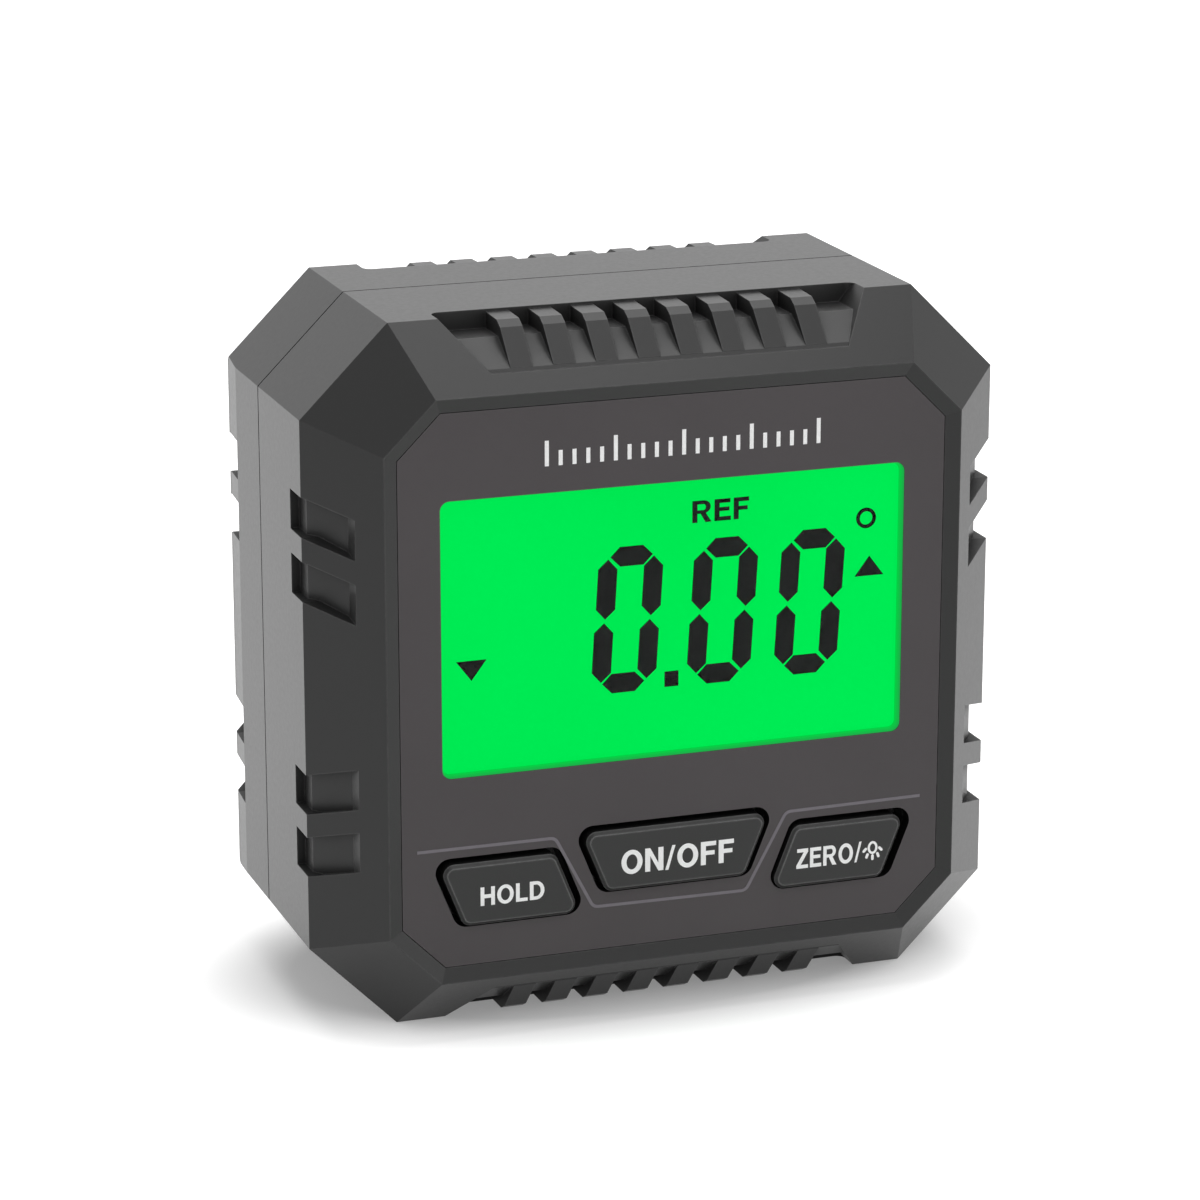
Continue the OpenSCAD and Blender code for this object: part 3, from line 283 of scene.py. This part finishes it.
def ink(name, colour, rough):
    """Printed ink, slightly uneven in tone and gloss."""
    m = Mat(name)
    m.set(Base_Color=m.ramp(m.noise(1500, 3), tint(colour, 0.93), colour),
          Roughness=m.spread(m.noise(4000, 2), rough - 0.08, rough + 0.08),
          Specular_IOR_Level=0.1)
    m.bump(m.noise(12000, 2), 0.1, 0.005)
    return m.made


def lit_glass():
    """The lit display: an almost even green glow and a fine cell grain."""
    m = Mat("lcd")
    m.set(Base_Color=(0.0, 0.02, 0.004, 1), Roughness=0.4, Specular_IOR_Level=0.0,
          Emission_Color=m.ramp(m.noise(25, 1), (0.0, 0.78, 0.08), (0.0, 0.84, 0.09)),
          Emission_Strength=1.0)
    m.bump(m.noise(8000, 2), 0.05, 0.005)
    return m.made


def lit_edge():
    """A painted green glow on the window's walls, the display's light on them, less towards
    the front.
    """
    m = Mat("lit_edge")
    split = m.node("SeparateXYZ")
    m.feed(m.coords, split.inputs["Vector"])
    depth = m.remap(split.outputs["Y"], (-16.9 * MM, -16.2 * MM))
    m.set(Base_Color=m.ramp(m.noise(800, 2), (0.0, 0.03, 0.01), (0.0, 0.04, 0.012)),
          Roughness=m.spread(m.noise(3000, 2), 0.3, 0.4), Specular_IOR_Level=0.1,
          Emission_Color=m.ramp(depth, (0.012, 0.36, 0.06), (0.0, 0.6, 0.05), (0, 1)),
          Emission_Strength=1.0)
    m.bump(m.noise(9000, 2), 0.05, 0.005)
    return m.made


def lens():
    """The thin clear window, with a faint uneven tint and no glare, as a coated one has."""
    m = Mat("lens")
    m.set(Base_Color=m.ramp(m.noise(90, 2), (0.97, 0.99, 0.98), (0.98, 1.0, 0.99)),
          Roughness=0.0, Transmission_Weight=1.0, IOR=1.0, Specular_IOR_Level=0.0)
    return m.made


def paper():
    """White paper that takes the shadow near the part, and looks pure white further out.

    The glow that whitens it is there for the camera and mirrors, and lights nothing. It is
    weaker in an ellipse close round the part: a painted shadow there.
    """
    m = Mat("floor_paper")
    squeezed = m.vector_calc("MULTIPLY", "Vector", m.coords, (0.55, 1, 1))
    distance = m.vector_calc("LENGTH", "Value", squeezed)
    # weaker close round the part: a painted shadow on the floor
    glow = m.remap(distance, (0.0155, 0.0235), (0.23, 0.72))
    m.set(Base_Color=(*grey(0.72), 1), Specular_IOR_Level=0.0,
          Roughness=m.spread(m.noise(40, 2), 0.88, 0.92), Emission_Color=(1, 1, 1, 1),
          Emission_Strength=m.calc("MULTIPLY", glow, m.seen_white(0)))
    return m.made


finishes = {
    # case: inner corners painted darker as shade; edges lighter, partly wear and partly a
    # painted highlight
    "case_plastic": moulded("case_plastic", grey(0.017), grey(0.07), 0.3, grain=0.12,
                            bevel=0.07, specular=0.3, crevice=4 * MM, turn=0.16),
    # panel: walls of the key holes painted near black as shade; edges lighter, partly wear
    # and partly a painted highlight
    "panel_plastic": moulded("panel_plastic", (0.081, 0.074, 0.077), (0.12, 0.11, 0.115),
                             0.6, grain=0.12, bevel=0.05, specular=0.15, sides=grey(0.002)),
    # keys: rims lighter, mostly a painted highlight along with wear; cap sides painted dark
    # as shade
    "key_plastic": moulded("key_plastic", grey(0.014), grey(0.22), 0.45, grain=0.12,
                           bevel=0.14, specular=0.35, sides=grey(0.004),
                           rub_and_highlight_shares=(0.55, 0.95), turn=0.09),
    "lens": lens(),
    "lcd": lit_glass(),
    "lcd_ink": ink("lcd_ink", grey(0.006), 0.6),
    "guide_clear": moulded("guide_clear", (0.75, 0.9, 0.8), (0.9, 1, 0.95), 0.15, grain=0.05),
    "guide_white": moulded("guide_white", (0.8, 0.8, 0.78), (0.85, 0.85, 0.84), 0.45),
    "led_body": moulded("led_body", (0.85, 0.82, 0.55), (0.9, 0.88, 0.7), 0.3, grain=0.1),
    "strip_rubber": moulded("strip_rubber", (0.6, 0.22, 0.32), (0.66, 0.3, 0.4), 0.7),
    "board": moulded("board", (0.012, 0.11, 0.04), (0.05, 0.18, 0.08), 0.35, grain=0.15),
    "chip": moulded("chip", (0.016, 0.016, 0.018), grey(0.05), 0.55),
    "can_steel": metal("can_steel", (0.62, 0.62, 0.63), 0.28, (0.1, 1, 1)),
    "switch_plastic": moulded("switch_plastic", (0.025, 0.025, 0.028), grey(0.06), 0.5),
    "plunger_plastic": moulded("plunger_plastic", (0.45, 0.03, 0.025), (0.5, 0.1, 0.08), 0.4),
    "cell_jacket": metal("cell_jacket", (0.25, 0.27, 0.3), 0.35, (0.15, 1, 1)),
    "contact_steel": metal("contact_steel", (0.7, 0.69, 0.65), 0.25, (1, 1, 0.1)),
    "lead_red": moulded("lead_red", (0.42, 0.012, 0.01), (0.5, 0.05, 0.04), 0.45),
    "lead_black": moulded("lead_black", grey(0.014), grey(0.04), 0.45),
    "screw_steel": metal("screw_steel", (0.3, 0.3, 0.31), 0.34),
    "magnet_plate": metal("magnet_plate", (0.66, 0.65, 0.63), 0.18, relief=0.15),
}
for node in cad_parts.values():
    for item in node.material_slots:
        wanted = item.material.name.split(".")[0] if item.material else ""
        if wanted in finishes:
            item.material = finishes[wanted]

# ---------------------------------------------------------------- outlines, in mm


def arc(cx, cz, rx, rz, start, end, count):
    """Points on an ellipse's arc, from the start to the end angle in degrees."""
    turns = [math.radians(start + (end - start) * i / count) for i in range(count + 1)]
    return [(cx + rx * math.cos(t), cz + rz * math.sin(t)) for t in turns]


def stroke(points, width):
    """One outline round a polyline of even width, with mitred turns and square ends."""
    sides = [[], []]
    for i, (x, z) in enumerate(points):
        i0, i1 = min(i, len(points) - 2), max(i, 1)
        after = (Vector(points[i0 + 1]) - Vector(points[i0])).normalized()
        before = (Vector(points[i1]) - Vector(points[i1 - 1])).normalized()
        mean = (before + after).normalized()
        out = Vector((-mean.y, mean.x)) * (width / 2 / max(mean.dot(after), 0.3))
        sides[0].append((x + out.x, z + out.y))
        sides[1].append((x - out.x, z - out.y))
    return sides[0] + sides[1][::-1]


def pill(a, b, radius):
    """The outline of a short round-ended bar from a to b."""
    turn = math.degrees(math.atan2(b[1] - a[1], b[0] - a[0]))
    return (arc(*b, radius, radius, turn - 90, turn + 90, 6)
            + arc(*a, radius, radius, turn + 90, turn + 270, 6))


def rounded(points, radius):
    """A polyline with each inner turn replaced by a small curve of five steps."""
    out = [points[0]]
    for a, b, c in zip(points, points[1:], points[2:]):
        a, b, c = Vector(a), Vector(b), Vector(c)
        p, q = b + (a - b).normalized() * radius, b + (c - b).normalized() * radius
        for t in (i / 5 for i in range(6)):
            out.append(tuple(p * (1 - t) ** 2 + b * 2 * t * (1 - t) + q * t * t))
    return out + [points[-1]]


def letter(sign, s):
    """A capital's width and outlines, one high, drawn with strokes s wide; holes follow."""
    lo, hi = 0.5 - s / 2, 0.5 + s / 2
    if sign == "H":
        return 0.76, [[(0, 0), (s, 0), (s, lo), (0.76 - s, lo), (0.76 - s, 0), (0.76, 0),
                       (0.76, 1), (0.76 - s, 1), (0.76 - s, hi), (s, hi), (s, 1), (0, 1)]]
    if sign == "O":
        return 0.88, [arc(0.44, 0.5, 0.44, 0.52, 0, 348, 29),
                      arc(0.44, 0.5, 0.44 - s, 0.52 - s * 0.92, 0, 348, 29)]
    if sign == "L":
        return 0.62, [[(0, 0), (0.62, 0), (0.62, s * 0.9), (s, s * 0.9), (s, 1), (0, 1)]]
    if sign == "D":
        return 0.78, [[(0, 0)] + arc(0.34, 0.5, 0.44, 0.5, -90, 90, 16) + [(0, 1)],
                      [(s, s * 0.9)] + arc(0.34, 0.5, 0.44 - s, 0.5 - s * 0.9, -90, 90, 16)
                      + [(s, 1 - s * 0.9)]]
    if sign == "N":
        return 0.76, [[(0, 0), (s, 0), (s, 0.66), (0.76 - s, 0), (0.76, 0), (0.76, 1),
                       (0.76 - s, 1), (0.76 - s, 0.34), (s, 1), (0, 1)]]
    if sign == "F":
        return 0.64, [[(0, 0), (s, 0), (s, 0.42), (0.58, 0.42), (0.58, 0.42 + s * 0.86),
                       (s, 0.42 + s * 0.86), (s, 1 - s * 0.9), (0.64, 1 - s * 0.9),
                       (0.64, 1), (0, 1)]]
    if sign == "E":
        return 0.68, [[(0, 0), (0.68, 0), (0.68, s * 0.9), (s, s * 0.9), (s, 0.44),
                       (0.62, 0.44), (0.62, 0.44 + s * 0.86), (s, 0.44 + s * 0.86),
                       (s, 1 - s * 0.9), (0.66, 1 - s * 0.9), (0.66, 1), (0, 1)]]
    if sign == "Z":
        return 0.7, [[(0, 0), (0.7, 0), (0.7, s * 0.9), (s * 1.3, s * 0.9),
                      (0.7, 1 - s * 0.8), (0.7, 1), (0.04, 1), (0.04, 1 - s * 0.9),
                      (0.7 - s * 1.3, 1 - s * 0.9), (0, s * 0.8)]]
    if sign == "R":
        return 0.8, [[(0, 0), (s, 0), (s, 0.4), (0.34, 0.4), (0.8 - s * 1.22, 0), (0.8, 0),
                      (0.56, 0.42)] + arc(0.48, 0.71, 0.28, 0.29, -60, 90, 10) + [(0, 1)],
                     [(s, 0.56)] + arc(0.46, 0.695, 0.29 - s * 0.9, 0.14, -90, 90, 8)
                     + [(s, 0.83)]]
    slash = [(-0.03, -0.02), (0.1, -0.02), (0.39, 1.02), (0.26, 1.02)]
    return 0.36, [slash]


def word(text, x0, x1, z0, z1, s, gap=0.12):
    """Outlines of a word that fills a box from x0 to x1 and from z0 to z1."""
    glyphs = [letter(sign, s) for sign in text]
    whole = sum(width for width, _ in glyphs) + gap * (len(glyphs) - 1)
    out, at = [], 0
    for width, lines in glyphs:
        out += [[(x0 + (at + x) / whole * (x1 - x0), z0 + z * (z1 - z0)) for x, z in line]
                for line in lines]
        at += width + gap
    return out


def raised(lines, height):
    return [[(x, z + height) for x, z in line] for line in lines]


# ---------------------------------------------------------------- printed marks

CASE_Z, WINDOW_Z = 29.75, 34.225               # heights that outlines are drawn about
PANEL_Y, CAP_Y, INK_Y = -16.9, -17.45, -15.56  # depths of the faces that are printed on
PRINT_T = 0.02                                 # how far a print stands off its face
WELD = 0.0005 * MM


def printed(name, outlines, y, finish, body):
    """A flat printed mark with real thickness, standing on the surface at depth y."""
    curve = bpy.data.curves.new(name, "CURVE")
    curve.dimensions, curve.fill_mode, curve.extrude = "2D", "BOTH", PRINT_T / 2 * MM
    for line in outlines:
        spline = curve.splines.new("POLY")
        spline.points.add(len(line) - 1)
        for point, (x, z) in zip(spline.points, line):
            point.co = (x * MM, z * MM, 0, 1)
        spline.use_cyclic_u = True
    source = bpy.data.objects.new(name + "_outline", curve)
    mesh = bpy.data.meshes.new_from_object(source)
    bpy.data.objects.remove(source)
    bpy.data.curves.remove(curve)
    mesh.transform(Matrix.Translation((0, (y - PRINT_T / 2) * MM, 0))
                   @ Matrix.Rotation(math.radians(90), 4, "X"))
    shape = bmesh.new()
    shape.from_mesh(mesh)
    bmesh.ops.remove_doubles(shape, verts=shape.verts, dist=WELD)
    bmesh.ops.recalc_face_normals(shape, faces=shape.faces)
    shape.to_mesh(mesh)
    shape.free()
    mesh.materials.clear()
    mesh.materials.append(finish)
    piece = add(name, mesh)
    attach(piece, body)


white_ink = ink("white_ink", grey(1.0), 0.5)
line_ink = ink("line_ink", (0.2, 0.185, 0.205), 0.55)

hold = word("HOLD", -17.07, -11.57, -18.12, -16.52, 0.2)
printed("mark_hold", raised(hold, CASE_Z), CAP_Y, white_ink, "hold")
power = word("ON/OFF", -4.87, 5.05, -16.84, -14.81, 0.21, 0.11)
printed("mark_power", raised(power, CASE_Z), CAP_Y, white_ink, "power")

# the lamp sign: a ring, two rays on either side and one below
LAMP_X, LAMP_Z, RAY = 17.56, -17.05, 0.12
SIDE_RAYS = ((0.61, -0.07, 0.8, -0.26), (0.45, -0.57, 0.54, -0.81))
rays = [pill((LAMP_X + side * x0, LAMP_Z + z0), (LAMP_X + side * x1, LAMP_Z + z1), RAY)
        for side in (-1, 1) for x0, z0, x1, z1 in SIDE_RAYS]
rays.append(pill((LAMP_X, LAMP_Z - 0.71), (LAMP_X, LAMP_Z - 1.0), RAY))
lamp = [arc(LAMP_X, LAMP_Z, 0.45, 0.57, 0, 345, 23),
        arc(LAMP_X, LAMP_Z, 0.245, 0.365, 0, 345, 23)] + rays
zero = word("ZERO/", 10.67, 16.5, -18.16, -16.43, 0.2)
printed("mark_zero", raised(zero + lamp, CASE_Z), CAP_Y, white_ink, "zero")

LINE = [(-22.25, -13.12), (-10.44, -13.18), (-7.13, -19.57), (6.36, -19.71), (9.92, -13.19),
        (22.01, -13.09)]
line_round_keys = stroke(rounded(LINE, 0.45), 0.26)
printed("mark_line", raised([line_round_keys], CASE_Z), PANEL_Y, line_ink, "case")

# a plain scale of ticks stands in the place of the words above the window
SCALE_X, SCALE_Z, TICK_STEP, TICK_HALF = 0.65, 18.3, 1.17, 0.17
LONG_TICK, SHORT_TICK = 2.1, 1.25
ticks = []
for i in range(-10, 11):
    x = SCALE_X + i * TICK_STEP
    top = SCALE_Z + (LONG_TICK if i % 5 == 0 else SHORT_TICK)
    ticks.append([(x - TICK_HALF, SCALE_Z), (x + TICK_HALF, SCALE_Z), (x + TICK_HALF, top),
                  (x - TICK_HALF, top)])
printed("mark_scale", raised(ticks, CASE_Z), PANEL_Y, white_ink, "case")

ref = word("REF", 1.9, 6.85, 7.63, 9.47, 0.21)
printed("mark_ref", raised(ref, WINDOW_Z), INK_Y, finishes["lcd_ink"], "case")

# ---------------------------------------------------------------- the window's painted glow

# a frame over the window's walls that glows green, painted light from the display on them:
# its section's corners as depth, step inwards and corner radius, all in mm
WINDOW_W, WINDOW_H = 40.1, 23.25
SECTION = [(-16.87, 0.015, 0.8), (-16.87, 0.05, 0.77), (-16.22, 0.24, 0.6),
           (-16.22, 0.015, 0.8)]

shape = bmesh.new()
loops = []
for y, inset, radius in SECTION:
    w, h = WINDOW_W / 2 - inset - radius, WINDOW_H / 2 - inset - radius
    corners = ((w, h, 0), (-w, h, 90), (-w, -h, 180), (w, -h, 270))
    outline = [point for cx, cz, start in corners
               for point in arc(cx, cz, radius, radius, start, start + 90, 8)]
    loops.append([shape.verts.new((x * MM, y * MM, (z + WINDOW_Z) * MM)) for x, z in outline])
for a, b in zip(loops, loops[1:] + loops[:1]):
    for i in range(len(a)):
        j = (i + 1) % len(a)
        shape.faces.new((a[i], a[j], b[j], b[i]))
bmesh.ops.recalc_face_normals(shape, faces=shape.faces)
edge_mesh = bpy.data.meshes.new("window_edge")
shape.to_mesh(edge_mesh)
shape.free()
edge_mesh.materials.append(lit_edge())
window_edge = add("window_edge", edge_mesh)
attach(window_edge, "case")

# ---------------------------------------------------------------- floor

FLOOR_HALF = 4      # metres
FLOOR_Z = -0.00005  # just under the part's base, so that the two don't share a face

floor_mesh = bpy.data.meshes.new("floor")
floor_mesh.from_pydata([(-FLOOR_HALF, -FLOOR_HALF, 0), (FLOOR_HALF, -FLOOR_HALF, 0),
                        (FLOOR_HALF, FLOOR_HALF, 0), (-FLOOR_HALF, FLOOR_HALF, 0)],
                       [], [(0, 1, 2, 3)])
floor_mesh.materials.append(paper())
floor = add("floor", floor_mesh)
floor.location = (0, 0, FLOOR_Z)
